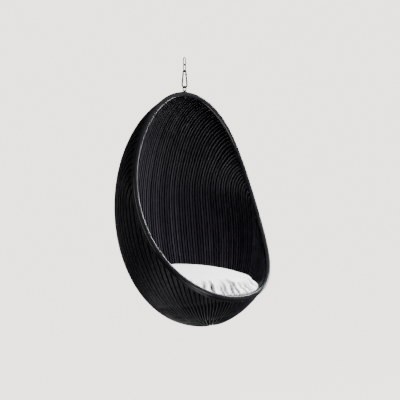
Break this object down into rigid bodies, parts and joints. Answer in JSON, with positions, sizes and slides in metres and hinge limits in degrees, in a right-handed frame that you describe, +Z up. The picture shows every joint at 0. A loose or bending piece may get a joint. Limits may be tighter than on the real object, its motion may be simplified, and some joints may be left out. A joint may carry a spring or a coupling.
{
  "type": "hanging egg chair",
  "caption": "Woven egg-shaped hanging seat with a tubular rim, hidden hoops and a loose cushion, hung from an eye bolt, a snap hook and a short chain.",
  "frame": {"origin": "bearing point inside the top of the upper chain link, from which the chair hangs", "axes": "+Z up along the chain, the sitter faces -Y, +X is the sitter's left; the egg is symmetric about X = 0"},
  "size_m": [0.8572, 0.8011, 1.4146],
  "materials": {
    "rim_black": "gloss",
    "frame_black": "satin",
    "strand_black": "satin",
    "cover_white": "matte",
    "filling_white": "matte",
    "zinc_steel": "satin",
    "spring_steel": "satin"
  },
  "bodies": {
    "upper_link": {"upper_link": "zinc_steel"},
    "lower_link": {"lower_link": "zinc_steel"},
    "hook": {"hook_body": "zinc_steel", "gate_pin": "zinc_steel"},
    "gate": {"hook_gate": "zinc_steel", "gate_spring": "spring_steel", "gate_plunger": "zinc_steel"},
    "chair": {"eye_bolt": "zinc_steel", "upper_saddle": "zinc_steel", "lower_saddle": "zinc_steel", "eye_nut": "zinc_steel", "rim_tube": "rim_black", "spine": "frame_black", "inner_weave": "strand_black", "outer_weave": "strand_black", "edge_bead": "strand_black", "hoop_01": "frame_black", "hoop_02": "frame_black", "hoop_03": "frame_black", "hoop_04": "frame_black", "hoop_05": "frame_black", "hoop_06": "frame_black", "hoop_07": "frame_black", "hoop_08": "frame_black", "hoop_09": "frame_black", "hoop_10": "frame_black", "hoop_11": "frame_black", "hoop_12": "frame_black", "hoop_13": "frame_black", "hoop_14": "frame_black", "hoop_15": "frame_black", "hoop_16": "frame_black", "hoop_17": "frame_black", "hoop_18": "frame_black", "hoop_19": "frame_black"},
    "cushion": {"cushion_cover": "cover_white", "cushion_filling": "filling_white"}
  },
  "joints": [
    {"name": "link_swing", "type": "hinge", "parent": "upper_link", "child": "lower_link", "pos_m": [0, 0, -0.0375], "axis": [1, 0, 0], "range_deg": [-45, 45]},
    {"name": "hook_swing", "type": "hinge", "parent": "lower_link", "child": "hook", "pos_m": [0, 0, -0.0723], "axis": [0, 1, 0], "range_deg": [-45, 45]},
    {"name": "chair_turn", "type": "hinge", "parent": "hook", "child": "chair", "pos_m": [0, 0, -0.1556], "axis": [0, 0, 1], "range_deg": [-30, 30]},
    {"name": "gate_hinge", "type": "hinge", "parent": "hook", "child": "gate", "pos_m": [0.01068, 0, -0.08569], "axis": [0, 1, 0], "range_deg": [0, 28], "stiffness_Nm_per_rad": 0.15, "springref_deg": -20.05},
    {"name": "cushion_lift", "type": "slide", "parent": "chair", "child": "cushion", "axis": [0, 0, 1], "range_m": [0, 0.15]}
  ]
}
